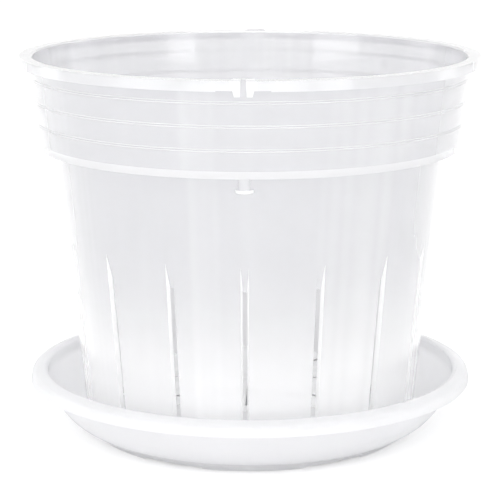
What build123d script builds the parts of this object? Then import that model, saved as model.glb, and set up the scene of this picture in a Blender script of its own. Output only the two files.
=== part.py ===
"""Clear slotted orchid pot that stands loose in a shallow drip saucer.

Millimetres, +Z up. The origin is on the ground under the middle of the saucer, and +Z is the axis of
both mouldings. The rim's two hanger notches lie on the Y axis, and one wall slot faces -Y.
The pot is one moulding, kept as three solids that meet face to face: its collar, its slotted body and
the raised middle of its floor.
"""
import math
import os

from build123d import *

# Both mouldings
wall = 1.2
cut_overrun = 0.5

# Saucer
saucer_height = 22.45
saucer_floor_clearance = 1.03
saucer_lip_width = 5.65
saucer_lip_depth = 5.05
saucer_lip_fall = 1.7
saucer_skirt_lean = 10.0
saucer_lip_outer_rounding = 2.1
saucer_lip_inner_rounding = 1.3
saucer_neck_drop = 5.3
saucer_neck_rounding = 1.6
saucer_wall_lean = 33.7
saucer_base_rounding = 18.0
saucer_edge_rounding = 0.3
foot_ring_overlap = 3.1
foot_ring_width = 2.5
foot_ring_depth = 1.2
foot_pad_depth = 0.55
foot_pad_count = 6
foot_pad_angle = 36.0
foot_pad_turn = 2.7

# Pot
rim_radius = 75.0
rim_skirt_depth = 3.2
rim_skirt_thickness = 1.0
rim_top_thickness = 1.1
rim_channel_width = 2.07
rim_outer_rounding = 0.45
rim_inner_rounding = 0.5
shoulder_height = 93.0
collar_height = 29.9
shoulder_width = 5.4
shoulder_rounding = 3.0
shoulder_root_rounding = 0.4
collar_draft = 5.82
body_draft = 5.57
base_rounding = 7.0
foot_width = 12.18
collar_seam_drop = 6.5
floor_seam_drop = 1.6

# Pot: fine score lines around the collar, in pairs, measured down from the rim's top
score_first_drop = 6.9
score_pair_pitch = 7.2
score_pair_count = 3
score_line_gap = 0.67
score_width = 0.3
score_depth = 0.12

# Pot: raised middle of the floor
plateau_height = 11.8
plateau_draft = 14.0
plateau_edge_rounding = 1.0
plateau_foot_rounding = 2.4

# Pot: drain slots
slot_count = 16
slot_outer_width = 2.6
slot_inner_width = 1.3
slot_top_height = 60.5
slot_runout_length = 8.0
slot_foot_margin = 2.2
slot_corner_lap_angle = 2.0
floor_slot_count = 8
floor_slot_start_radius = 12.0
floor_slot_end_margin = 6.0

# Pot: hanger notches in the rim, front and back
notch_block_top_width = 7.7
notch_block_tip_width = 5.4
notch_tip_drop = 4.7
notch_slit_top_width = 1.3
notch_slit_tip_width = 2.1
notch_slit_depth = 2.2
notch_relief_width = 16.2
notch_relief_depth = 0.3
notch_crown_width = 10.0
notch_crown_top_width = 6.0
notch_crown_height = 0.35
notch_crown_inset = 1.1

# Pot: hanger buttons on the wall under the shoulder, front and back
button_post_radius = 1.85
button_post_length = 4.2
button_flange_radius = 2.8
button_flange_thickness = 0.7

# Worked out from the sizes above
saucer_underside = foot_pad_depth + foot_ring_depth
seat_height = saucer_underside + wall
shoulder_level = seat_height + shoulder_height
rim_top = shoulder_level + collar_height
rim_underside = rim_top - rim_top_thickness
plateau_underside = seat_height + plateau_height
collar_top_radius = rim_radius - rim_skirt_thickness - rim_channel_width
lip_edge = saucer_height - saucer_lip_depth
saucer_neck_height = saucer_height - saucer_neck_drop
notch_azimuths = (-90.0, 90.0)


def slope(angle):
    """Sideways run per unit of height for a wall that leans by an angle in degrees."""
    return math.tan(math.radians(angle))


def level_thickness(angle):
    """Thickness of a leaning wall, measured level instead of square to its face."""
    return wall / math.cos(math.radians(angle))


def collar_outer(height):
    """Outside radius of the pot's collar at a height."""
    return collar_top_radius - (rim_underside - height) * slope(collar_draft)


def collar_inner(height):
    return collar_outer(height) - level_thickness(collar_draft)


def body_outer(height):
    """Outside radius of the pot's tapered wall at a height."""
    top_radius = collar_outer(shoulder_level) - shoulder_width
    return top_radius - (shoulder_level - height) * slope(body_draft)


def body_inner(height):
    return body_outer(height) - level_thickness(body_draft)


# The floor's raised middle and the saucer take their sizes from the pot's foot
foot_edge_radius = body_outer(seat_height) - base_rounding * slope((90 - body_draft) / 2)
plateau_radius = body_outer(seat_height) - foot_width - plateau_height * slope(plateau_draft)
saucer_floor_radius = foot_edge_radius + saucer_floor_clearance
saucer_corner_radius = saucer_floor_radius + (saucer_base_rounding - wall) * slope((90 - saucer_wall_lean) / 2)
saucer_wall_run = (saucer_neck_height - seat_height) * slope(saucer_wall_lean)
saucer_neck_radius = saucer_corner_radius + level_thickness(saucer_wall_lean) + saucer_wall_run
saucer_inner_radius = saucer_neck_radius - wall
saucer_lip_radius = saucer_inner_radius + saucer_lip_width
foot_ring_radius = saucer_floor_radius + foot_ring_overlap


def riser_under(height):
    """Radius of the hollow under the raised middle of the pot's floor at a height."""
    return plateau_radius + (plateau_underside - height) * slope(plateau_draft)


def riser_over(height):
    return riser_under(height) + level_thickness(plateau_draft)


def bowl_outer(height):
    """Outside radius of the saucer's sloping wall at a height."""
    return saucer_neck_radius - (saucer_neck_height - height) * slope(saucer_wall_lean)


def bowl_inner(height):
    return bowl_outer(height) - level_thickness(saucer_wall_lean)


def skirt_outer(height):
    """Outside radius of the saucer lip's hanging skirt at a height."""
    return saucer_lip_radius - (height - lip_edge) * slope(saucer_skirt_lean)


def turned(corners):
    """Solid turned about +Z from corners given as (radius, height, rounding)."""
    points = [(radius, height) for radius, height, rounding in corners]
    roundings = [rounding for radius, height, rounding in corners]
    outline = FilletPolyline(*points, radius=roundings, close=True)
    return revolve(make_face(Plane.XZ * outline), Axis.Z)


def wedge(low_width, high_width, low, high, near, far):
    """Bar along +X from near to far, whose width changes from its low to its high level."""
    corners = [(-low_width / 2, low), (low_width / 2, low), (high_width / 2, high), (-high_width / 2, high)]
    section = make_face(Plane.YZ.offset(near) * Polyline(*corners, close=True))
    return extrude(section, far - near)


def disc(radius, low, high):
    """Round slab on the pot's axis."""
    return Pos(0, 0, low) * Cylinder(radius, high - low, align=(Align.CENTER, Align.CENTER, Align.MIN))


# Saucer
def saucer_shell():
    """Dish with a neck and a broad lip that falls outwards to a hanging skirt, all of one thickness."""
    level_extra = level_thickness(saucer_wall_lean) - wall
    neck_inner_height = saucer_neck_height + level_extra / slope(saucer_wall_lean)
    lip_corner_height = saucer_height - saucer_lip_fall
    lip_corner_radius = skirt_outer(lip_corner_height)
    fall = saucer_lip_fall / (lip_corner_radius - saucer_inner_radius)
    lean = slope(saucer_skirt_lean)

    # The lip's underside meets the skirt's inner face at one corner
    skirt_inner_radius = saucer_lip_radius - level_thickness(saucer_skirt_lean)
    under_height = saucer_height - wall * math.hypot(1, fall)
    rise = under_height + fall * saucer_inner_radius - lip_edge
    under_radius = (skirt_inner_radius - lean * rise) / (1 - lean * fall)
    under_corner_height = under_height - fall * (under_radius - saucer_inner_radius)
    return turned([
        (0, saucer_underside, 0),
        (bowl_outer(saucer_underside), saucer_underside, saucer_base_rounding),
        (saucer_neck_radius, saucer_neck_height, saucer_neck_rounding),
        (saucer_neck_radius, under_height - fall * wall, saucer_edge_rounding),
        (under_radius, under_corner_height, saucer_lip_outer_rounding - wall),
        (skirt_inner_radius, lip_edge, 0),
        (saucer_lip_radius, lip_edge, saucer_edge_rounding),
        (lip_corner_radius, lip_corner_height, saucer_lip_outer_rounding),
        (saucer_inner_radius, saucer_height, saucer_lip_inner_rounding),
        (saucer_inner_radius, neck_inner_height, saucer_neck_rounding + wall),
        (bowl_inner(seat_height), seat_height, saucer_base_rounding - wall),
        (0, seat_height, 0),
    ])


def foot_ring():
    root = saucer_underside + wall / 2
    return turned([
        (foot_ring_radius - foot_ring_width, foot_pad_depth, saucer_edge_rounding),
        (foot_ring_radius, foot_pad_depth, saucer_edge_rounding),
        (foot_ring_radius, root, 0),
        (foot_ring_radius - foot_ring_width, root, 0),
    ])


def foot_pad():
    """One arc of the foot that reaches the ground, centred on +X."""
    middle_radius = foot_ring_radius - foot_ring_width / 2
    width = foot_ring_width - 2 * saucer_edge_rounding
    depth = foot_pad_depth + saucer_edge_rounding
    section = Plane.XZ * Pos(middle_radius, depth / 2) * Rectangle(width, depth)
    return Rot(0, 0, -foot_pad_angle / 2) * revolve(section, Axis.Z, foot_pad_angle)


def saucer():
    pads = [
        Rot(0, 0, foot_pad_turn - 90 + index * 360 / foot_pad_count) * foot_pad()
        for index in range(foot_pad_count)
    ]
    return saucer_shell() + foot_ring() + pads


# Pot: turned shapes
def score_corners():
    """Fine V-shaped lines cut around the collar, from the lowest up."""
    levels = []
    for pair in range(score_pair_count):
        middle = rim_top - score_first_drop - pair * score_pair_pitch
        levels += [middle + score_line_gap / 2, middle - score_line_gap / 2]
    corners = []
    for level in reversed(levels):
        low = level - score_width / 2
        high = level + score_width / 2
        corners += [(collar_outer(low), low, 0)]
        corners += [(collar_outer(level) - score_depth, level, 0)]
        corners += [(collar_outer(high), high, 0)]
    return corners


def pot_outside():
    """The pot's outer form, solid inside: floor, wall, shoulder, collar and the hanging rim."""
    skirt_inner_radius = rim_radius - rim_skirt_thickness
    skirt_edge = rim_top - rim_skirt_depth
    return turned([
        (0, plateau_underside, 0),
        (plateau_radius, plateau_underside, plateau_edge_rounding),
        (riser_under(seat_height), seat_height, plateau_foot_rounding),
        (body_outer(seat_height), seat_height, base_rounding),
        (body_outer(shoulder_level), shoulder_level, shoulder_root_rounding),
        (collar_outer(shoulder_level), shoulder_level, shoulder_rounding),
        *score_corners(),
        (collar_top_radius, rim_underside, 0),
        (skirt_inner_radius, rim_underside, 0),
        (skirt_inner_radius, skirt_edge, 0),
        (rim_radius, skirt_edge, 0),
        (rim_radius, rim_top, rim_outer_rounding),
        (0, rim_top, 0),
    ])


def pot_hollow():
    """The space inside the pot, up through the open top."""
    floor_top = seat_height + wall
    plateau_top = plateau_underside + wall
    shoulder_top = shoulder_level + wall
    mouth_radius = collar_inner(rim_top)
    flare = mouth_radius + rim_inner_rounding
    return turned([
        (0, plateau_top, 0),
        (riser_over(plateau_top), plateau_top, plateau_edge_rounding + wall),
        (riser_over(floor_top), floor_top, plateau_foot_rounding - wall),
        (body_inner(floor_top), floor_top, base_rounding - wall),
        (body_inner(shoulder_top), shoulder_top, shoulder_root_rounding + wall),
        (collar_inner(shoulder_top), shoulder_top, shoulder_rounding - wall),
        (collar_inner(rim_top - rim_inner_rounding), rim_top - rim_inner_rounding, rim_inner_rounding),
        (flare, rim_top, 0),
        (flare, rim_top + cut_overrun, 0),
        (0, rim_top + cut_overrun, 0),
    ])


# Pot: drain slots
def slot_width_at(depth):
    """Slot width at a depth under the outer face, from the draft of its two sides."""
    return slot_outer_width + (slot_inner_width - slot_outer_width) * depth / wall


def slot_section():
    """Cross-section of a slot: x square to the wall and outward, y along the slot's width."""
    over = cut_overrun
    under = -wall - cut_overrun
    wide = slot_width_at(-over) / 2
    narrow = slot_width_at(-under) / 2
    return make_face(Polyline((over, -wide), (over, wide), (under, narrow), (under, -narrow), close=True))


def slot_plane(centre, angle):
    """Plane across a slot where it leaves the base corner, at an angle below the level."""
    outward = Vector(math.cos(math.radians(angle)), 0, -math.sin(math.radians(angle)))
    upward = Vector(math.sin(math.radians(angle)), 0, math.cos(math.radians(angle)))
    return Plane(centre + outward * base_rounding, x_dir=outward, z_dir=upward)


def wall_slot():
    """One slot on the +X side: it starts in the wall, goes round the base corner and into the floor."""
    corner = Vector(foot_edge_radius, 0, seat_height + base_rounding)

    wall_start = slot_plane(corner, body_draft)
    upward = wall_start.z_dir
    length = (slot_top_height + seat_height - wall_start.origin.Z) / upward.Z
    bar = extrude(wall_start * slot_section(), length + slot_runout_length)
    runout_normal = upward * wall - wall_start.x_dir * slot_runout_length
    wall_part = split(bar, Plane(wall_start.origin + upward * length, z_dir=runout_normal), keep=Keep.BOTTOM)

    corner_start = slot_plane(corner, body_draft - slot_corner_lap_angle) * slot_section()
    corner_part = revolve(corner_start, Axis(corner, (0, 1, 0)), 90 - body_draft + 2 * slot_corner_lap_angle)

    floor_start = slot_plane(corner, 90) * slot_section()
    floor_part = extrude(floor_start, riser_over(seat_height + wall) + slot_foot_margin - foot_edge_radius)
    return wall_part + corner_part + floor_part


def floor_slot():
    """One radial slot on the +X side of the floor's raised middle."""
    start = floor_slot_start_radius
    end = plateau_radius - floor_slot_end_margin
    section = Plane((start, 0, plateau_underside), x_dir=(0, 0, -1), z_dir=(1, 0, 0)) * slot_section()
    return extrude(section, end - start)


def slots():
    wall_cutter = wall_slot()
    floor_cutter = floor_slot()
    cutters = [Rot(0, 0, index * 360 / slot_count - 90) * wall_cutter for index in range(slot_count)]
    cutters += [
        Rot(0, 0, index * 360 / floor_slot_count - 90) * floor_cutter
        for index in range(floor_slot_count)
    ]
    return cutters


# Pot: hanger notches and buttons
def notch_relief():
    """Shallow cut that shortens the rim's skirt on both sides of a notch."""
    edge = rim_top - rim_skirt_depth
    near = rim_radius - rim_skirt_thickness - rim_channel_width / 2
    width = notch_relief_width
    return wedge(width, width, edge - cut_overrun, edge + notch_relief_depth, near, rim_radius + cut_overrun)


def notch_block():
    """Tapered block that fills the rim's channel at a notch."""
    tip = rim_top - notch_tip_drop
    block = wedge(notch_block_tip_width, notch_block_top_width, tip, rim_underside, body_outer(tip), rim_radius)
    return block & disc(rim_radius, tip, rim_underside)


def notch_crown():
    """Low swelling of the rim's top over a notch."""
    top = rim_top + notch_crown_height
    bar = wedge(notch_crown_width, notch_crown_top_width, rim_underside, top, collar_top_radius, rim_radius)
    return bar & disc(rim_radius - notch_crown_inset, rim_underside, top)


def notch_slit():
    """Slit that opens a notch to the outside, wider towards its lower end."""
    low = rim_top - notch_tip_drop - cut_overrun
    high = rim_top + notch_crown_height + cut_overrun
    near = rim_radius - notch_slit_depth
    return wedge(notch_slit_tip_width, notch_slit_top_width, low, high, near, rim_radius + cut_overrun)


def button():
    """Half-round post under the shoulder with a wider half-round flange at its foot."""
    flange_top = shoulder_level - button_post_length
    flange_low = flange_top - button_flange_thickness
    base = (Align.CENTER, Align.CENTER, Align.MIN)
    post = Cylinder(button_post_radius, button_post_length + wall / 2, align=base)
    flange = Cylinder(button_flange_radius, button_flange_thickness, align=base)
    seat = body_outer(flange_top)
    return Pos(seat, 0, flange_top) * post + Pos(seat, 0, flange_low) * flange


def pot():
    """The whole pot as one solid."""
    shape = pot_outside()
    for azimuth in notch_azimuths:
        place = Rot(0, 0, azimuth)
        shape -= place * notch_relief()
        shape += [place * notch_block(), place * notch_crown(), place * button()]
        shape -= place * notch_slit()
    shape -= pot_hollow()
    return shape - slots()


def pot_pieces():
    """The pot parted at a level seam below its buttons and at one below the floor's raised middle."""
    whole = pot()
    collar_seam = shoulder_level - collar_seam_drop
    floor_seam = plateau_underside - floor_seam_drop
    above_collar_seam = disc(rim_radius + cut_overrun, collar_seam, rim_top + notch_crown_height + cut_overrun)
    middle_radius = (riser_over(floor_seam) + body_inner(floor_seam)) / 2
    above_floor_seam = disc(middle_radius, floor_seam, plateau_underside + wall + cut_overrun)
    body = whole - [above_collar_seam, above_floor_seam]
    return {"pot_collar": whole & above_collar_seam, "pot_body": body, "pot_floor": whole & above_floor_seam}


if __name__ == "__main__":
    os.makedirs("parts", exist_ok=True)
    export_step(saucer(), "parts/saucer.step")
    for name, piece in pot_pieces().items():
        export_step(piece, f"parts/{name}.step")
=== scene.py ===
"""A clear slotted orchid pot standing in its milky drip saucer, in a white studio.

The pot and the saucer are thin polypropylene mouldings. The pot is modelled here as one piece, the saucer's
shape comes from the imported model, and both get their plastics here, with the floor, the room, the lamps and
the camera. Lengths are in metres unless a name or a description says millimetres.
"""
import math

import bmesh
import bpy
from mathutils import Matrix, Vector


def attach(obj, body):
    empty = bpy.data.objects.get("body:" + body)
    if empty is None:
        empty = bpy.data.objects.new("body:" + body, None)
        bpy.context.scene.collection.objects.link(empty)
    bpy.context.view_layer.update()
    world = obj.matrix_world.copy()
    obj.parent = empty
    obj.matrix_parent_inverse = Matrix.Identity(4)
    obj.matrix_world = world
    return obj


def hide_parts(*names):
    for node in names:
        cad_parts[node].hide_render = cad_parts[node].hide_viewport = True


bl_info = {
    "name": "Clear orchid pot with saucer",
    "version": (1, 0, 0),
    "blender": (4, 5, 0),
    "location": "3D View > Sidebar > Orchid pot",
    "description": "Models a clear slotted orchid pot, dresses it and its milky saucer and lights them",
    "category": "Object",
}

MM = 0.001
# Two places closer than this count as the same.
NEAR = 0.002 * MM
# Play for telling faces apart by where they lie.
SLACK = 0.1 * MM
# How far a cutter or an added block reaches past the faces that it has to cross.
OVER = 0.5 * MM
# Flat sides of each turned ring, and of each round post.
SIDES = 288
POST_SIDES = 48
# Angle of one facet of a large rounding, and facets of a small one.
ROUNDING_STEP = math.radians(9)
SLOT_BEND_FACETS = 10
SMALL_ROUNDING = 1 * MM
SMALL_ROUNDING_FACETS = 3
# Faces that meet at less than this angle are shaded as one.
SMOOTH_ANGLE = math.radians(28)
FRONT, BACK = -math.pi / 2, math.pi / 2
POLYPROPYLENE_IOR = 1.49
WHITE = (1, 1, 1, 1)
# Face attribute with the clear plastic's painted highlights on edges, slots and ribs,
# and its painted light on the floor.
PAINTED_LIGHT_ATTRIBUTE = "whitening"
# Name, place, width, height and power of each lamp. The windows and sides give the walls their upright
# reflections, and the low one lights the saucer.
LAMP_TARGET = (0, 0, 0.06)
LAMPS = (
    ("soft_front", (0.0, -0.9, 0.95), 0.7, 0.7, 2.4),
    ("soft_top", (0.0, 0.1, 1.2), 0.5, 0.5, 3.5),
    ("soft_low", (0.0, -0.85, 0.06), 0.9, 0.25, 2.2),
    ("window_left", (-0.77, -0.64, 0.22), 0.50, 0.7, 4.0),
    ("window_right", (0.66, -0.75, 0.22), 0.30, 0.7, 2.6),
    ("side_left", (-0.95, 0.35, 0.22), 0.30, 0.7, 1.6),
    ("side_right", (0.95, 0.35, 0.22), 0.30, 0.7, 1.6),
)

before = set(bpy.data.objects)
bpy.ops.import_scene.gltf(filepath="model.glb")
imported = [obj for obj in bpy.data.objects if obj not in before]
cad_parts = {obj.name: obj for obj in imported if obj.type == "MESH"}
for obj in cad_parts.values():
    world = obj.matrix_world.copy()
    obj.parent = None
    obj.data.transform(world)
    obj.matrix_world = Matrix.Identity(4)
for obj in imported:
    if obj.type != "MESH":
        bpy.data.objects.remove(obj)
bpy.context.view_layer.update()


def linear(code):
    """Linear RGBA of an sRGB colour written as #rrggbb."""
    shares = [int(code[at:at + 2], 16) / 255 for at in (1, 3, 5)]
    return [c / 12.92 if c <= 0.04045 else ((c + 0.055) / 1.055) ** 2.4 for c in shares] + [1.0]


def add_node(tree, kind, settings=None, **links):
    """Adds a node. Settings set its properties and unlinked inputs, and links feed its inputs by name."""
    node = tree.nodes.new(kind)
    for name, value in (settings or {}).items():
        if name in node.inputs:
            node.inputs[name].default_value = value
        else:
            setattr(node, name, value)
    for name, source in links.items():
        tree.links.new(source, node.inputs[name.replace("_", " ")])
    return node


def empty_material(name):
    """A node material with nothing in it but its output."""
    material = bpy.data.materials.new(name)
    material.use_nodes = True
    material.node_tree.nodes.clear()
    output = add_node(material.node_tree, "ShaderNodeOutputMaterial")
    return material, material.node_tree, output


def work_on(piece):
    """Makes a piece the only selected one, and the active one."""
    bpy.ops.object.select_all(action="DESELECT")
    piece.select_set(True)
    bpy.context.view_layer.objects.active = piece


def settle(piece):
    """Puts a piece's place, turn and scale into its mesh."""
    work_on(piece)
    bpy.ops.object.transform_apply(location=True, rotation=True, scale=True)
    return piece


def select_where(piece, wanted, kind="verts"):
    """In edit mode, selects only the vertices, edges or faces whose vertices all lie where wanted says."""
    bpy.ops.mesh.select_all(action="DESELECT")
    mesh = bmesh.from_edit_mesh(piece.data)
    for part in getattr(mesh, kind):
        corners = [part] if kind == "verts" else part.verts
        part.select_set(all(wanted(corner.co) for corner in corners))
    mesh.select_flush_mode()
    bmesh.update_edit_mesh(piece.data)


def turned(name, corners):
    """Solid turned about the pot's axis, from corners given as (radius, height, rounding).

    A disc is extruded and widened from one corner's ring to the next, and then the rings are rounded.
    """
    radius, height, rounding = corners[0]
    bpy.ops.object.select_all(action="DESELECT")
    bpy.ops.mesh.primitive_circle_add(vertices=SIDES, radius=radius, fill_type="NGON",
                                      location=(0, 0, height), rotation=(0, 0, math.pi / SIDES))
    piece = settle(bpy.context.object)
    piece.name = name
    bpy.ops.object.mode_set(mode="EDIT")
    bpy.ops.mesh.select_all(action="SELECT")
    for (radius, height, rounding), (next_radius, next_height, rounding) in zip(corners, corners[1:]):
        bpy.ops.mesh.extrude_region_move(TRANSFORM_OT_translate={"value": (0, 0, next_height - height)})
        widening = next_radius / radius
        bpy.ops.transform.resize(value=(widening, widening, 1), center_override=(0, 0, next_height))
    for before, corner, after in zip(corners, corners[1:], corners[2:]):
        round_ring(piece, before, corner, after)
    first, second = corners[:2]
    round_ring(piece, (0, first[1], 0), first, second)
    round_ring(piece, corners[-2], corners[-1], (0, corners[-1][1], 0))
    bpy.ops.mesh.select_all(action="SELECT")
    bpy.ops.mesh.normals_make_consistent(inside=False)
    bpy.ops.object.mode_set(mode="OBJECT")
    return piece


def round_ring(piece, before, corner, after):
    """Bevels the ring of edges at a corner to its rounding, with the corners on both sides known."""
    radius, height, rounding = corner
    if not rounding:
        return
    way_in = math.atan2(height - before[1], radius - before[0])
    way_out = math.atan2(after[1] - height, after[0] - radius)
    bend = abs(math.remainder(way_out - way_in, math.tau))
    select_where(piece, lambda co: abs(co.z - height) < NEAR and abs(co.xy.length - radius) < NEAR, "edges")
    facets = max(2, round(bend / ROUNDING_STEP)) if rounding > SMALL_ROUNDING else SMALL_ROUNDING_FACETS
    bpy.ops.mesh.bevel(offset_type="OFFSET", offset=rounding * math.tan(bend / 2), segments=facets,
                       profile=0.5, affect="EDGES", clamp_overlap=False)


def bar(name, low_width, high_width, low, high, near, far, azimuth):
    """Bar from near to far along a radius, whose width changes from its low to its high level."""
    bpy.ops.object.select_all(action="DESELECT")
    bpy.ops.mesh.primitive_cube_add(size=1, location=((near + far) / 2, 0, (low + high) / 2),
                                    scale=(far - near, low_width, high - low))
    piece = settle(bpy.context.object)
    piece.name = name
    bpy.ops.object.mode_set(mode="EDIT")
    select_where(piece, lambda co: co.z > (low + high) / 2)
    bpy.ops.transform.resize(value=(1, high_width / low_width, 1), center_override=(0, 0, high))
    bpy.ops.object.mode_set(mode="OBJECT")
    piece.rotation_euler = (0, 0, azimuth)
    return settle(piece)


def post(name, radius, low, high, reach, azimuth):
    """Upright round post whose axis stands at a reach from the pot's axis."""
    bpy.ops.object.select_all(action="DESELECT")
    place = (reach * math.cos(azimuth), reach * math.sin(azimuth), (low + high) / 2)
    bpy.ops.mesh.primitive_cylinder_add(vertices=POST_SIDES, radius=radius, depth=high - low, location=place)
    piece = settle(bpy.context.object)
    piece.name = name
    return piece


def combine(piece, tool, operation):
    """Adds a tool to a piece or cuts it away, and removes the tool."""
    work_on(piece)
    bpy.ops.object.modifier_add(type="BOOLEAN")
    modifier = piece.modifiers[-1]
    modifier.operation = operation
    modifier.solver = "EXACT"
    modifier.object = tool
    bpy.ops.object.modifier_apply(modifier=modifier.name)
    bpy.data.objects.remove(tool)


def joined(pieces):
    """Several pieces as one object."""
    work_on(pieces[0])
    for piece in pieces:
        piece.select_set(True)
    bpy.ops.object.join()
    return bpy.context.object


def repeated(piece, number, first):
    """Copies of a piece turned evenly round the pot's axis, as one object."""
    copies = []
    for index in range(number):
        work_on(piece)
        bpy.ops.object.duplicate(linked=False)
        copy = bpy.context.object
        copy.rotation_euler = (0, 0, first + index * math.tau / number)
        copies.append(settle(copy))
    bpy.data.objects.remove(piece)
    return joined(copies)


def smoothed(piece, angle):
    """Smooth shading that keeps edges above an angle, with the large faces setting the normals."""
    work_on(piece)
    bpy.ops.object.shade_smooth_by_angle(angle=angle)
    bpy.ops.object.modifier_add(type="WEIGHTED_NORMAL")
    modifier = piece.modifiers[-1]
    modifier.keep_sharp = True
    modifier.weight = 100
    bpy.ops.object.modifier_apply(modifier=modifier.name)


def worked_out(tree, operation, first, second=None, **settings):
    """Socket with a sum, product or the like of one or two sockets."""
    node = add_node(tree, "ShaderNodeMath", {"operation": operation, **settings})
    for slot, source in zip(node.inputs, (first, second)):
        if source is not None:
            tree.links.new(source, slot)
    return node.outputs[0]


def shows_white(tree):
    """Socket that is 1 for rays that should meet plain white, and 0 for the light that falls on the object."""
    path = add_node(tree, "ShaderNodeLightPath")
    direct = worked_out(tree, "MAXIMUM", path.outputs["Is Camera Ray"], path.outputs["Is Glossy Ray"])
    return worked_out(tree, "MAXIMUM", direct, path.outputs["Is Transmission Ray"])


def between(tree, factor, first, second):
    """Socket with a colour between two sRGB colours."""
    blend = add_node(tree, "ShaderNodeMix", {"data_type": "RGBA"}, Factor=factor)
    blend.inputs[6].default_value = linear(first)
    blend.inputs[7].default_value = linear(second)
    return blend.outputs[2]


def clear_polypropylene(look):
    """Random-copolymer polypropylene, moulded in a polished tool.

    It is nearly colourless but hazy, like wet tracing film: what stands behind it shows as soft grey shapes,
    while its own faces stay glossy. Light is lost along its length, so two walls look greyer than one. Edges,
    slots, ribs and the floor get painted highlights and painted light as a whiter, less clear plastic. The wall
    is also whitened towards the ground as painted light, and faint whiter upright streaks on it are painted
    reflections.
    """
    material, tree, output = empty_material("clear_polypropylene")
    place = add_node(tree, "ShaderNodeTexCoord").outputs["Object"]
    waves = add_node(tree, "ShaderNodeTexNoise", {"Scale": 1 / (look.wave_mm * MM), "Detail": 2.0}, Vector=place)
    bump = add_node(tree, "ShaderNodeBump", {"Strength": 0.3, "Distance": look.wave_depth_mm * MM},
                    Height=waves.outputs["Fac"])
    haze = add_node(tree, "ShaderNodeMapRange", {
        "To Min": look.haze - look.haze_change,
        "To Max": look.haze + look.haze_change,
    }, Value=waves.outputs["Fac"])
    # Painted highlights on edges, slots and ribs, and painted light on the floor, read from the face attribute.
    edges = add_node(tree, "ShaderNodeAttribute", {"attribute_name": PAINTED_LIGHT_ATTRIBUTE})
    level = add_node(tree, "ShaderNodeSeparateXYZ", Vector=place)
    # Painted light: the wall is whitened towards the ground.
    painted_low_light = add_node(tree, "ShaderNodeMapRange", {
        "interpolation_type": "SMOOTHERSTEP",
        "From Min": look.low_light_reach_mm * MM,
        "From Max": 0.0,
        "To Max": look.painted_low_light_share,
    }, Value=level.outputs["Z"])
    flat = add_node(tree, "ShaderNodeVectorMath", {"operation": "MULTIPLY"})
    tree.links.new(place, flat.inputs[0])
    flat.inputs[1].default_value = (1, 1, 0)
    direction = add_node(tree, "ShaderNodeVectorMath", {"operation": "NORMALIZE"})
    tree.links.new(flat.outputs["Vector"], direction.inputs[0])
    # Painted reflections: faint upright whiter streaks round the wall.
    streaks = add_node(tree, "ShaderNodeTexNoise", {
        "noise_dimensions": "4D",
        "W": look.reflection_seed,
        "Scale": look.reflection_count,
        "Detail": 3.0,
    }, Vector=direction.outputs["Vector"])
    painted_reflection = add_node(tree, "ShaderNodeMapRange", {
        "interpolation_type": "SMOOTHSTEP",
        "From Min": 0.45,
        "From Max": 0.68,
        "To Max": look.painted_reflection_share,
    }, Value=streaks.outputs["Fac"])
    # Painted light on the lower wall together with the painted reflection streaks.
    painted_low_light_and_reflections = worked_out(tree, "ADD", painted_low_light.outputs["Result"], painted_reflection.outputs["Result"], use_clamp=True)
    white = worked_out(tree, "MAXIMUM", edges.outputs["Fac"], painted_low_light_and_reflections)
    # The painted highlights and painted light make the plastic whiter and less clear.
    tint = between(tree, white, look.clear_colour, look.painted_highlight_colour)
    clearness = add_node(tree, "ShaderNodeMapRange", {
        "To Min": look.clearness,
        "To Max": look.painted_highlight_clearness,
    }, Value=white)
    plastic = add_node(tree, "ShaderNodeBsdfPrincipled", {
        "IOR": POLYPROPYLENE_IOR,
        "Coat Weight": look.clear_gloss,
        "Coat Roughness": look.polish,
        "Coat IOR": POLYPROPYLENE_IOR,
    }, Base_Color=tint, Roughness=haze.outputs["Result"], Transmission_Weight=clearness.outputs["Result"],
        Normal=bump.outputs["Normal"], Coat_Normal=bump.outputs["Normal"])
    loss = add_node(tree, "ShaderNodeVolumeAbsorption", {
        "Color": linear(look.clear_depth_colour),
        "Density": look.clear_loss,
    })
    tree.links.new(plastic.outputs["BSDF"], output.inputs["Surface"])
    tree.links.new(loss.outputs["Volume"], output.inputs["Volume"])
    return material


def milky_polypropylene(look):
    """Natural polypropylene with a satin face, moulded hazier than the pot.

    It lets light through but scatters it, so the saucer looks like thin milk glass and hides what is
    behind it. Its thickness changes slowly, which shows as faint clouds in its white.
    """
    material, tree, output = empty_material("milky_polypropylene")
    place = add_node(tree, "ShaderNodeTexCoord").outputs["Object"]
    clouds = add_node(tree, "ShaderNodeTexNoise", {"Scale": 1 / (look.cloud_mm * MM), "Detail": 3.0},
                      Vector=place).outputs["Fac"]
    satin = add_node(tree, "ShaderNodeMapRange", {
        "To Min": look.satin - look.satin_change,
        "To Max": look.satin + look.satin_change,
    }, Value=clouds)
    shade = between(tree, clouds, look.milky_colour, look.milky_shade)
    bump = add_node(tree, "ShaderNodeBump", {"Strength": 0.2, "Distance": look.cloud_depth_mm * MM},
                    Height=clouds)
    plastic = add_node(tree, "ShaderNodeBsdfPrincipled", {
        "IOR": POLYPROPYLENE_IOR,
        "Transmission Weight": look.milky_clearness,
    }, Base_Color=shade, Roughness=satin.outputs["Result"], Normal=bump.outputs["Normal"])
    tree.links.new(plastic.outputs["BSDF"], output.inputs["Surface"])
    return material


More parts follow.
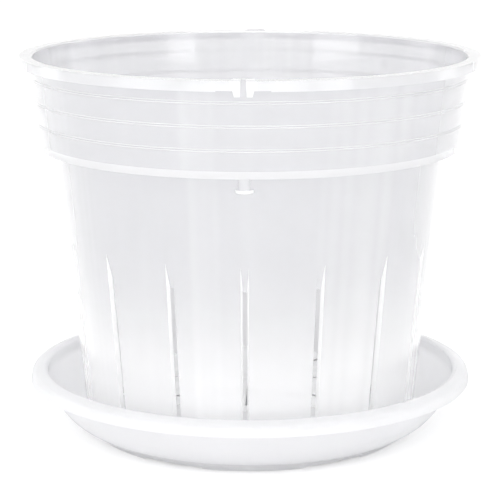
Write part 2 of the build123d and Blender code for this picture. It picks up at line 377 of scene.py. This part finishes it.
def white_paper(name, code, glow):
    """Matt uncoated paper that is lit by the lamps and keeps shadows.

    It is an even white without gloss, and a little glow of its own brings it up to the white of the room for
    the camera and in what the plastic mirrors or lets through.
    """
    material, tree, output = empty_material(name)
    shine = add_node(tree, "ShaderNodeMath", {"operation": "MULTIPLY"})
    tree.links.new(shows_white(tree), shine.inputs[0])
    shine.inputs[1].default_value = glow
    paper = add_node(tree, "ShaderNodeBsdfDiffuse", {"Color": linear(code), "Roughness": 0.9})
    light = add_node(tree, "ShaderNodeEmission", {"Color": WHITE}, Strength=shine.outputs[0])
    both = add_node(tree, "ShaderNodeAddShader")
    tree.links.new(paper.outputs[0], both.inputs[0])
    tree.links.new(light.outputs[0], both.inputs[1])
    tree.links.new(both.outputs[0], output.inputs["Surface"])
    return material


def soft_room(light, side_light):
    """White room that lights the object evenly, with a greyer card at each side for dark outlines.

    The camera sees it plain white. A clear wall shows the cards only where it turns away from the camera.
    """
    room = bpy.data.worlds.new("soft_room")
    room.use_nodes = True
    tree = room.node_tree
    tree.nodes.clear()
    strength = add_node(tree, "ShaderNodeMapRange", {"To Min": light, "To Max": 1.0}, Value=shows_white(tree))
    toward = add_node(tree, "ShaderNodeTexCoord")
    sideways = add_node(tree, "ShaderNodeSeparateXYZ", Vector=toward.outputs["Generated"])
    aside = worked_out(tree, "ABSOLUTE", sideways.outputs["X"])
    card = add_node(tree, "ShaderNodeMapRange", {
        "interpolation_type": "SMOOTHSTEP",
        "From Min": 0.45,
        "From Max": 0.9,
        "To Min": 1.0,
        "To Max": side_light,
    }, Value=aside)
    path = add_node(tree, "ShaderNodeLightPath")
    level = worked_out(tree, "MAXIMUM", card.outputs[0], path.outputs["Is Camera Ray"])
    shaded = worked_out(tree, "MULTIPLY", strength.outputs[0], level)
    background = add_node(tree, "ShaderNodeBackground", {"Color": WHITE}, Strength=shaded)
    out = add_node(tree, "ShaderNodeOutputWorld")
    tree.links.new(background.outputs[0], out.inputs["Surface"])
    return room


def length(name, description, millimetres):
    """A length that a user may change, shown in the scene's own unit."""
    return bpy.props.FloatProperty(name=name, description=description, default=millimetres * MM, unit="LENGTH",
                                   precision=5)


def lean(name, description, degrees):
    """An angle that a user may change."""
    return bpy.props.FloatProperty(name=name, description=description, default=math.radians(degrees),
                                   subtype="ANGLE")


def count(name, description, value):
    """A number of like features."""
    return bpy.props.IntProperty(name=name, description=description, default=value, min=1)


def share(name, description, value):
    """A share from 0 to 1."""
    return bpy.props.FloatProperty(name=name, description=description, default=value, min=0, max=1)


def amount(name, description, value):
    """A strength or a size without a unit of its own."""
    return bpy.props.FloatProperty(name=name, description=description, default=value, min=0)


def colour(name, description, code):
    """An sRGB colour written as #rrggbb."""
    return bpy.props.StringProperty(name=name, description=description, default=code)


class PotSizes(bpy.types.PropertyGroup):
    """Sizes of the clear pot, with heights above the ground."""

    wall: length("Wall", "Thickness of the moulding", 1.2)
    rim_radius: length("Rim radius", "Outside radius of the rim", 75.0)
    rim_top: length("Rim top", "Height of the rim's flat top", 125.85)
    rim_thickness: length("Rim thickness", "Thickness of the rim's flat top", 1.1)
    skirt_depth: length("Skirt depth", "From the rim's top to the edge of its hanging skirt", 3.2)
    skirt_thickness: length("Skirt thickness", "Thickness of the rim's hanging skirt", 1.0)
    channel: length("Channel", "Width of the channel between skirt and collar", 2.07)
    collar_draft: lean("Collar draft", "How far the collar leans out", 5.82)
    shoulder_level: length("Shoulder", "Height of the shoulder's underside", 95.95)
    shoulder_width: length("Shoulder width", "Width of the step between body and collar", 5.4)
    shoulder_rounding: length("Shoulder rounding", "Outer rounding of the shoulder", 3.0)
    # The band also marks where a painted highlight goes round the foot of the collar.
    shoulder_band: length("Shoulder band", "Height of the whiter band round the foot of the collar", 2.3)
    body_draft: lean("Body draft", "How far the body leans out", 5.57)
    foot_level: length("Foot", "Height of the pot's underside, just clear of the saucer", 2.97)
    foot_width: length("Foot width", "Width of the flat ring that the pot stands on", 12.18)
    base_rounding: length("Base rounding", "Outer rounding between body and foot", 7.0)
    neck_rounding: length("Neck rounding", "Rounding in the corner between body and shoulder", 0.4)
    riser_rounding: length("Riser rounding", "Rounding between the foot and the raised middle's side", 2.4)
    middle_rounding: length("Middle rounding", "Rounding under the edge of the raised middle", 1.0)
    channel_rounding: length("Channel rounding", "Rounding in the two corners of the rim's channel", 0.2)
    skirt_rounding: length("Skirt rounding", "Rounding of the skirt's lower edge", 0.15)
    rim_rounding: length("Rim rounding", "Rounding of the rim's outer edge", 0.45)
    lip_slope: length("Lip slope", "Width and height of the slope at the mouth's edge", 0.5)
    lip_rounding: length("Lip rounding", "Rounding under the slope at the mouth's edge", 0.6)
    middle_level: length("Raised middle", "Height of the underside of the floor's raised middle", 14.75)
    middle_draft: lean("Raised middle draft", "How far the raised middle's side leans", 14.0)
    score_drop: length("Score drop", "From the rim's top to the first pair of score lines", 6.9)
    score_pitch: length("Score pitch", "From one pair of score lines to the next", 7.2)
    score_gap: length("Score gap", "Between the two lines of a pair", 0.67)
    score_width: length("Score width", "Width of a score line", 0.3)
    score_depth: length("Score depth", "Depth of a score line", 0.12)
    slot_outer: length("Slot width outside", "Width of a drain slot at the outer face", 2.6)
    slot_inner: length("Slot width inside", "Width of a drain slot at the inner face", 1.3)
    slot_top: length("Slot top", "Height of a slot's top in the middle of the wall", 63.45)
    slot_runout: length("Slot runout", "How much further up a slot ends outside than inside", 8.0)
    slot_stop: length("Slot stop", "From a slot's end in the floor to the raised middle's side", 2.2)
    slot_count: count("Slots", "Drain slots round the wall", 16)
    floor_slot_start: length("Floor slot start", "Radius at the inner ends of the floor's slots", 12.0)
    floor_slot_stop: length("Floor slot stop", "From a floor slot's outer end to the raised middle's edge", 6.0)
    floor_slot_count: count("Floor slots", "Radial slots in the raised middle", 8)
    score_pairs: count("Score pairs", "Pairs of score lines round the collar", 3)
    notch_depth: length("Notch depth", "From the rim's top to the tip of the hanger's block", 4.7)
    notch_low_width: length("Notch width below", "Width of the hanger's block at its tip", 5.4)
    notch_top_width: length("Notch width above", "Width of the hanger's block under the rim", 7.7)
    notch_inset: length("Notch inset", "From the rim's outside to the block's face", 0.1)
    # Half width of the painted highlight on a hanger's block.
    notch_side: length("Notch side", "Half the width that looks whiter at a hanger", 4.4)
    relief_width: length("Relief width", "Length of the shorter skirt at a hanger", 16.2)
    relief_rise: length("Relief rise", "How much shorter the skirt is at a hanger", 0.3)
    crown_low_width: length("Crown width below", "Width of the swelling over a hanger at its foot", 10.0)
    crown_top_width: length("Crown width above", "Width of the swelling over a hanger at its top", 6.0)
    crown_rise: length("Crown rise", "Height of the swelling over a hanger", 0.35)
    crown_inset: length("Crown inset", "From the rim's outside to the swelling's face", 1.3)
    slit_low_width: length("Slit width below", "Width of a hanger's slit at its lower end", 2.1)
    slit_top_width: length("Slit width above", "Width of a hanger's slit at the rim's top", 1.3)
    slit_depth: length("Slit depth", "From the rim's outside to the bottom of a slit", 2.2)
    button_drop: length("Button drop", "From the shoulder's underside to the flange of a button", 4.2)
    button_radius: length("Button radius", "Radius of a button's post", 1.85)
    flange_radius: length("Flange radius", "Radius of a button's flange", 2.8)
    flange_thickness: length("Flange thickness", "Thickness of a button's flange", 0.7)
    # Reach of the painted highlight under the shoulder's step.
    step_reach: length("Step reach", "How far below the shoulder its step looks whiter", 1.6)
    # Inset of the painted light on the pot's floor.
    floor_clear: length("Floor clearance", "Distance from the wall at which the floor looks whiter", 2.0)


class PlasticLook(bpy.types.PropertyGroup):
    """Colours and surfaces of the two plastics."""

    clear_colour: colour("Clear tint", "sRGB tint of each face of the clear pot", "#ededef")
    clear_depth_colour: colour("Clear depth", "sRGB tint that the clear plastic takes with depth", "#d0d1d3")
    clear_loss: amount("Clear loss", "Density of the clear plastic's absorption, per metre", 25.0)
    clearness: share("Clearness", "Share of light that passes a face of the clear pot", 0.66)
    # Painted highlights: the whiter, less clear plastic put on edges, ribs and slots.
    painted_highlight_colour: colour("Edge tint", "sRGB tint of the clear pot's edges, ribs and slots", "#ffffff")
    painted_highlight_clearness: share("Edge clearness", "Share of light that passes the whitened edges", 0.1)
    # Painted light that whitens the wall towards the ground.
    low_light_reach_mm: amount("Gate reach", "Height in mm up to which the wall whitens towards the foot", 80.0)
    painted_low_light_share: share("Gate whitening", "How white the wall gets at the ground", 0.8)
    # Painted reflections: upright whiter streaks on the wall.
    reflection_seed: bpy.props.FloatProperty(
        name="Flow seed", description="Chooses where the upright flow streaks lie", default=2.6)
    reflection_count: amount("Flow count", "How many flow streaks there are over one radian", 3.0)
    painted_reflection_share: share("Flow whitening", "How white the flow streaks get", 0.14)
    # Strength of the painted highlight on each kind of face.
    slot_painted_highlight: share("Slot whitening", "How white the sides of slots are", 0.85)
    line_painted_highlight: share("Line whitening", "How white the score lines and the shoulder's step are", 0.35)
    skirt_painted_highlight: share("Skirt whitening", "How white the upright faces of the rim are", 0.25)
    rim_painted_highlight: share("Rim whitening", "How white the other faces of the rim are", 0.1)
    notch_painted_highlight: share("Notch whitening", "How white the hangers' blocks are", 0.4)
    button_painted_highlight: share("Button whitening", "How white the buttons' posts are", 0.2)
    flange_painted_highlight: share("Flange whitening", "How white the buttons' flanges are", 1.0)
    # Strength of the painted light on the pot's floor.
    floor_painted_light: share("Floor whitening", "How white the floor is", 0.7)
    clear_gloss: share("Clear gloss", "Strength of the polished skin over the haze", 1.0)
    polish: share("Polish", "Roughness of the polished skin", 0.04)
    haze: share("Haze", "Roughness that blurs what is seen through the clear pot", 0.21)
    haze_change: share("Haze change", "How much the haze changes from place to place", 0.03)
    wave_mm: amount("Wave length", "Length of the wall's slow unevenness in mm", 22.0)
    wave_depth_mm: amount("Wave depth", "Depth of the wall's slow unevenness in mm", 0.3)
    milky_colour: colour("Milky colour", "sRGB colour of the saucer", "#fafafb")
    milky_shade: colour("Milky shade", "sRGB colour of the saucer's thinner clouds", "#f8f8f9")
    milky_clearness: share("Milky clearness", "Share of light that passes the saucer", 0.5)
    satin: share("Satin", "Roughness of the saucer's faces", 0.45)
    satin_change: share("Satin change", "How much that roughness changes from place to place", 0.05)
    cloud_mm: amount("Cloud size", "Size of the saucer's faint clouds in mm", 14.0)
    cloud_depth_mm: amount("Cloud depth", "Depth of the saucer's slow unevenness in mm", 0.05)


class StudioLook(bpy.types.PropertyGroup):
    """Camera, floor and lamps."""

    floor_colour: colour("Floor colour", "sRGB colour of the paper floor", "#f8f8f8")
    floor_size: length("Floor size", "Length of each side of the paper floor", 8000.0)
    floor_gap: length("Floor gap", "From the paper up to the object's lowest point", 0.2)
    floor_glow: amount("Floor glow", "How much white the floor shows on top of its own light", 0.15)
    lamp_share: amount("Lamp share", "Strength of all lamps together", 0.45)
    room_light: amount("Room light", "Strength of the soft light from all sides", 0.98)
    side_light: amount("Side light", "Light of the two side cards, as a share of the room's", 0.82)
    camera_distance: length("Camera distance", "Level distance from the pot's axis", 636.0)
    camera_height: length("Camera height", "Height above the ground", 196.35)
    camera_azimuth: lean("Camera azimuth", "Turn of the camera round the pot from -Y towards +X", 1.5)
    camera_pitch: lean("Camera pitch", "How far the camera looks down", 12.11)
    camera_lens_mm: amount("Lens", "Focal length in mm on a 36 mm sensor", 140.35)


class ORCHIDPOT_OT_studio(bpy.types.Operator):
    """Floor, backdrop, lamps and camera."""

    bl_idname = "orchidpot.studio"
    bl_label = "Build the studio"

    def execute(self, context):
        look = context.scene.orchidpot_studio
        paper = white_paper("matt_white_paper", look.floor_colour, look.floor_glow)
        bpy.ops.object.select_all(action="DESELECT")
        bpy.ops.mesh.primitive_plane_add(size=look.floor_size, location=(0, 0, -look.floor_gap))
        floor = context.object
        floor.name = "floor"
        floor.data.materials.append(paper)
        context.scene.world = soft_room(look.room_light, look.side_light)

        target = Vector(LAMP_TARGET)
        for name, place, width, height, watts in LAMPS:
            lamp = bpy.data.lights.new(name, "AREA")
            lamp.shape = "RECTANGLE"
            lamp.size = width
            lamp.size_y = height
            lamp.energy = watts * look.lamp_share
            holder = bpy.data.objects.new(name, lamp)
            context.scene.collection.objects.link(holder)
            holder.location = place
            holder.rotation_euler = (target - Vector(place)).to_track_quat("-Z", "Y").to_euler()

        lens = bpy.data.cameras.new("camera")
        lens.lens = look.camera_lens_mm
        lens.sensor_width = 36.0
        lens.clip_start = 0.01
        lens.clip_end = 50.0
        camera = bpy.data.objects.new("camera", lens)
        context.scene.collection.objects.link(camera)
        camera.location = (
            look.camera_distance * math.sin(look.camera_azimuth),
            -look.camera_distance * math.cos(look.camera_azimuth),
            look.camera_height,
        )
        camera.rotation_euler = (math.pi / 2 - look.camera_pitch, 0, look.camera_azimuth)
        context.scene.camera = camera
        context.scene.view_settings.view_transform = "Standard"
        # Light that comes through several hazy walls is lost if glossy paths are blurred or cut short.
        context.scene.cycles.blur_glossy = 0.0
        context.scene.cycles.max_bounces = 32
        context.scene.cycles.transmission_bounces = 32
        context.scene.cycles.glossy_bounces = 32
        context.scene.cycles.diffuse_bounces = 12
        return {"FINISHED"}


class ORCHIDPOT_OT_pot(bpy.types.Operator):
    """The clear pot as one moulding: rim, collar, shoulder, slotted body and raised floor."""

    bl_idname = "orchidpot.pot"
    bl_label = "Model the pot"

    def execute(self, context):
        self.size = context.scene.orchidpot_sizes
        self.look = context.scene.orchidpot_plastic
        piece = self.outside()
        for azimuth in (FRONT, BACK):
            self.add_hanger(piece, azimuth)
        combine(piece, self.hollow(), "DIFFERENCE")
        combine(piece, repeated(self.wall_slot(), self.size.slot_count, FRONT), "DIFFERENCE")
        combine(piece, repeated(self.floor_slot(), self.size.floor_slot_count, FRONT), "DIFFERENCE")
        smoothed(piece, SMOOTH_ANGLE)
        piece.name = "clear_pot"
        whitening = piece.data.attributes.new(PAINTED_LIGHT_ATTRIBUTE, "FLOAT", "FACE")
        whitening.data.foreach_set("value", [self.whitened(face) for face in piece.data.polygons])
        piece.data.materials.clear()
        piece.data.materials.append(clear_polypropylene(self.look))
        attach(piece, "pot")
        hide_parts("pot_collar", "pot_body", "pot_floor")
        return {"FINISHED"}

    def whitened(self, face):
        """How much whiter than the plain wall a face looks, from 0 to 1, by its place and normal.

        Painted highlights go on slot sides, score lines, the rim, the shoulder's step, the buttons and the
        hangers, and painted light on the floor. The order matters: a face takes the first rule that fits it,
        from small features to large ones.
        """
        size, look = self.size, self.look
        radius, height = face.center.xy.length, face.center.z
        beside = abs(face.center.x)
        # 1 where a face looks sideways round the pot, as the sides of slots do.
        across = abs(face.normal.x * face.center.y - face.normal.y * face.center.x) / max(radius, MM)
        steep = abs(face.normal.z) < 0.3
        past_body = radius - self.body_outer(height)
        past_collar = radius - self.collar_outer(height)
        below_rim = size.rim_top - height
        below_step = size.shoulder_level - height
        if size.step_reach < below_step < size.button_drop - 2 * SLACK and past_body > 2 * SLACK:
            return look.button_painted_highlight
        if below_rim < size.notch_depth + SLACK and beside < size.notch_side and past_collar > 0:
            return 0.0 if beside < (size.slit_low_width + SLACK) / 2 else look.notch_painted_highlight
        if across > 0.5:
            return look.slot_painted_highlight
        if below_rim < size.skirt_depth + SLACK and past_collar > 2 * SLACK:
            return look.skirt_painted_highlight if steep else look.rim_painted_highlight
        if -below_step > size.shoulder_rounding and not steep:
            return look.line_painted_highlight
        if -size.shoulder_band < below_step < size.step_reach and past_body > -5 * SLACK:
            return look.line_painted_highlight
        if 0 < below_step < size.button_drop + size.flange_thickness + SLACK and past_body > SLACK:
            return look.flange_painted_highlight
        # Painted light on the floor.
        if height < size.middle_level + 2 * size.wall and radius < self.body_inner(height) - size.floor_clear:
            return look.floor_painted_light
        return 0.0

    def collar_outer(self, height):
        """Radius of the collar's outer face at a height."""
        size = self.size
        top_radius = size.rim_radius - size.skirt_thickness - size.channel
        return top_radius - (size.rim_top - size.rim_thickness - height) * math.tan(size.collar_draft)

    def collar_inner(self, height):
        """Radius of the collar's inner face at a height."""
        return self.collar_outer(height) - self.size.wall / math.cos(self.size.collar_draft)

    def body_outer(self, height):
        """Radius of the body's outer face at a height."""
        size = self.size
        top_radius = self.collar_outer(size.shoulder_level) - size.shoulder_width
        return top_radius - (size.shoulder_level - height) * math.tan(size.body_draft)

    def body_inner(self, height):
        """Radius of the body's inner face at a height."""
        return self.body_outer(height) - self.size.wall / math.cos(self.size.body_draft)

    def riser_under(self, height):
        """Radius of the hollow under the raised middle of the floor at a height."""
        return self.body_outer(self.size.foot_level) - self.size.foot_width - (
            height - self.size.foot_level) * math.tan(self.size.middle_draft)

    def riser_over(self, height):
        """Radius of the raised middle's side, seen from above, at a height."""
        return self.riser_under(height) + self.size.wall / math.cos(self.size.middle_draft)

    def outside(self):
        """The outer form, solid inside, with V-shaped score lines in pairs round the collar."""
        size = self.size
        levels = []
        for pair in range(size.score_pairs):
            middle = size.rim_top - size.score_drop - pair * size.score_pitch
            levels += [middle + size.score_gap / 2, middle - size.score_gap / 2]
        scores = []
        for level in reversed(levels):
            low, high = level - size.score_width / 2, level + size.score_width / 2
            scores += [(self.collar_outer(low), low, 0), (self.collar_outer(level) - size.score_depth, level, 0),
                       (self.collar_outer(high), high, 0)]
        band = size.shoulder_level + size.shoulder_band
        under = size.rim_top - size.rim_thickness
        edge = size.rim_top - size.skirt_depth
        skirt_inner = size.rim_radius - size.skirt_thickness
        return turned("pot_outside", [
            (self.riser_under(size.middle_level), size.middle_level, size.middle_rounding),
            (self.riser_under(size.foot_level), size.foot_level, size.riser_rounding),
            (self.body_outer(size.foot_level), size.foot_level, size.base_rounding),
            (self.body_outer(size.shoulder_level), size.shoulder_level, size.neck_rounding),
            (self.collar_outer(size.shoulder_level), size.shoulder_level, size.shoulder_rounding),
            (self.collar_outer(band), band, 0),
            *scores,
            (self.collar_outer(under), under, size.channel_rounding),
            (skirt_inner, under, size.channel_rounding),
            (skirt_inner, edge, size.skirt_rounding),
            (size.rim_radius, edge, size.skirt_rounding),
            (size.rim_radius, size.rim_top, size.rim_rounding),
        ])

    def hollow(self):
        """The space inside the pot, up through the mouth with its rounded lip."""
        size = self.size
        floor = size.foot_level + size.wall
        middle = size.middle_level + size.wall
        step = size.shoulder_level + size.wall
        lip = size.rim_top - size.lip_slope
        mouth = self.collar_inner(size.rim_top) + size.lip_slope
        return turned("pot_hollow", [
            (self.riser_over(middle), middle, size.middle_rounding + size.wall),
            (self.riser_over(floor), floor, size.riser_rounding - size.wall),
            (self.body_inner(floor), floor, size.base_rounding - size.wall),
            (self.body_inner(step), step, size.neck_rounding + size.wall),
            (self.collar_inner(step), step, size.shoulder_rounding - size.wall),
            (self.collar_inner(lip), lip, size.lip_rounding),
            (mouth, size.rim_top, 0),
            (mouth, size.rim_top + 2 * OVER, 0),
        ])

    def add_hanger(self, piece, azimuth):
        """One hanger notch in the rim with the button under it.

        The skirt is a little shorter there, a tapered block fills the channel, the rim's top swells over it,
        and a slit that widens downwards opens it to the outside.
        """
        size = self.size
        outer = size.rim_radius
        edge = size.rim_top - size.skirt_depth
        under = size.rim_top - size.rim_thickness
        tip = size.rim_top - size.notch_depth
        crown_top = size.rim_top + size.crown_rise
        flange_top = size.shoulder_level - size.button_drop
        reach = self.body_outer(flange_top)
        combine(piece, bar(
            "relief", size.relief_width, size.relief_width, edge - OVER, edge + size.relief_rise,
            outer - size.skirt_thickness - size.channel / 2, outer + OVER, azimuth), "DIFFERENCE")
        combine(piece, bar(
            "block", size.notch_low_width, size.notch_top_width, tip, under + OVER,
            self.body_outer(tip), outer - size.notch_inset, azimuth), "UNION")
        combine(piece, bar(
            "crown", size.crown_low_width, size.crown_top_width, size.rim_top - OVER, crown_top,
            self.collar_outer(under), outer - size.crown_inset, azimuth), "UNION")
        combine(piece, post(
            "post", size.button_radius, flange_top - OVER, size.shoulder_level + OVER, reach, azimuth), "UNION")
        combine(piece, post(
            "flange", size.flange_radius, flange_top - size.flange_thickness, flange_top, reach,
            azimuth), "UNION")
        combine(piece, bar(
            "slit", size.slit_low_width, size.slit_top_width, tip - OVER, crown_top + OVER,
            outer - size.slit_depth, outer + OVER, azimuth), "DIFFERENCE")

    def slot_widths(self):
        """Widths of a slot's cutter at its outer and inner face, a little past the wall on both sides."""
        size = self.size
        draft = (size.slot_outer - size.slot_inner) / size.wall
        return size.slot_outer + draft * OVER, size.slot_inner - draft * OVER

    def wall_slot(self):
        """Cutter for one drain slot on the +X side, wider outside than inside.

        Its cross-section starts in the wall, is extruded down it, spun round the base and run into the floor.
        """
        size = self.size
        depth = size.wall + 2 * OVER
        wide, narrow = self.slot_widths()
        corner = math.pi / 2 - size.body_draft
        centre = Vector((
            self.body_outer(size.foot_level) - size.base_rounding * math.tan(corner / 2),
            0,
            size.foot_level + size.base_rounding,
        ))
        outward = Vector((math.cos(size.body_draft), 0, -math.sin(size.body_draft)))
        upward = Vector((math.sin(size.body_draft), 0, math.cos(size.body_draft)))
        start = centre + outward * (size.base_rounding - size.wall / 2)
        rise = (size.slot_top - start.z) / upward.z

        bpy.ops.object.select_all(action="DESELECT")
        bpy.ops.mesh.primitive_plane_add(size=1)
        piece = bpy.context.object
        piece.scale = (depth, wide, 1)
        piece.rotation_euler = (0, size.body_draft, 0)
        piece.location = start + upward * rise
        settle(piece)
        bpy.ops.object.mode_set(mode="EDIT")
        middle = (start + upward * rise).dot(outward)
        select_where(piece, lambda co: co.dot(outward) < middle)
        bpy.ops.transform.resize(value=(1, narrow / wide, 1), center_override=(0, 0, 0))
        bpy.ops.mesh.select_all(action="SELECT")
        bpy.ops.mesh.extrude_region_move(TRANSFORM_OT_translate={"value": upward * -rise})
        bpy.ops.mesh.spin(steps=SLOT_BEND_FACETS, angle=corner, center=centre, axis=(0, -1, 0))
        run = centre.x - self.riser_over(size.foot_level + size.wall) - size.slot_stop
        bpy.ops.mesh.extrude_region_move(TRANSFORM_OT_translate={"value": (-run, 0, 0)})
        slant = size.slot_runout / size.wall * depth / 2
        high = (start + upward * rise * 0.9).dot(upward)
        for side in (1, -1):
            select_where(piece, lambda co: co.dot(upward) > high and (co.dot(outward) - middle) * side > 0)
            bpy.ops.transform.translate(value=upward * slant * side)
        bpy.ops.mesh.select_all(action="SELECT")
        bpy.ops.mesh.normals_make_consistent(inside=False)
        bpy.ops.object.mode_set(mode="OBJECT")
        return piece

    def floor_slot(self):
        """Cutter for one radial slot in the floor's raised middle, wider below than above."""
        size = self.size
        wide, narrow = self.slot_widths()
        end = self.riser_under(size.middle_level) - size.floor_slot_stop
        return bar("floor_slot", wide, narrow, size.middle_level - OVER, size.middle_level + size.wall + OVER,
                   size.floor_slot_start, end, 0)


class ORCHIDPOT_OT_saucer(bpy.types.Operator):
    """Milky plastic for the saucer."""

    bl_idname = "orchidpot.saucer"
    bl_label = "Dress the saucer"

    def execute(self, context):
        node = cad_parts["saucer"]
        node.data.materials.clear()
        node.data.materials.append(milky_polypropylene(context.scene.orchidpot_plastic))
        return {"FINISHED"}


class ORCHIDPOT_PT_panel(bpy.types.Panel):
    """The steps in order."""

    bl_label = "Orchid pot"
    bl_idname = "ORCHIDPOT_PT_panel"
    bl_space_type = "VIEW_3D"
    bl_region_type = "UI"
    bl_category = "Orchid pot"

    def draw(self, context):
        for step in STEPS:
            self.layout.operator(step.bl_idname)


STEPS = (ORCHIDPOT_OT_studio, ORCHIDPOT_OT_pot, ORCHIDPOT_OT_saucer)
CLASSES = (PotSizes, PlasticLook, StudioLook, *STEPS, ORCHIDPOT_PT_panel)


def register():
    for each in CLASSES:
        bpy.utils.register_class(each)
    bpy.types.Scene.orchidpot_sizes = bpy.props.PointerProperty(type=PotSizes)
    bpy.types.Scene.orchidpot_plastic = bpy.props.PointerProperty(type=PlasticLook)
    bpy.types.Scene.orchidpot_studio = bpy.props.PointerProperty(type=StudioLook)


def unregister():
    del bpy.types.Scene.orchidpot_studio
    del bpy.types.Scene.orchidpot_plastic
    del bpy.types.Scene.orchidpot_sizes
    for each in reversed(CLASSES):
        bpy.utils.unregister_class(each)


def main():
    register()
    bpy.ops.orchidpot.studio()
    bpy.ops.orchidpot.pot()
    bpy.ops.orchidpot.saucer()


if __name__ == "__main__":
    main()
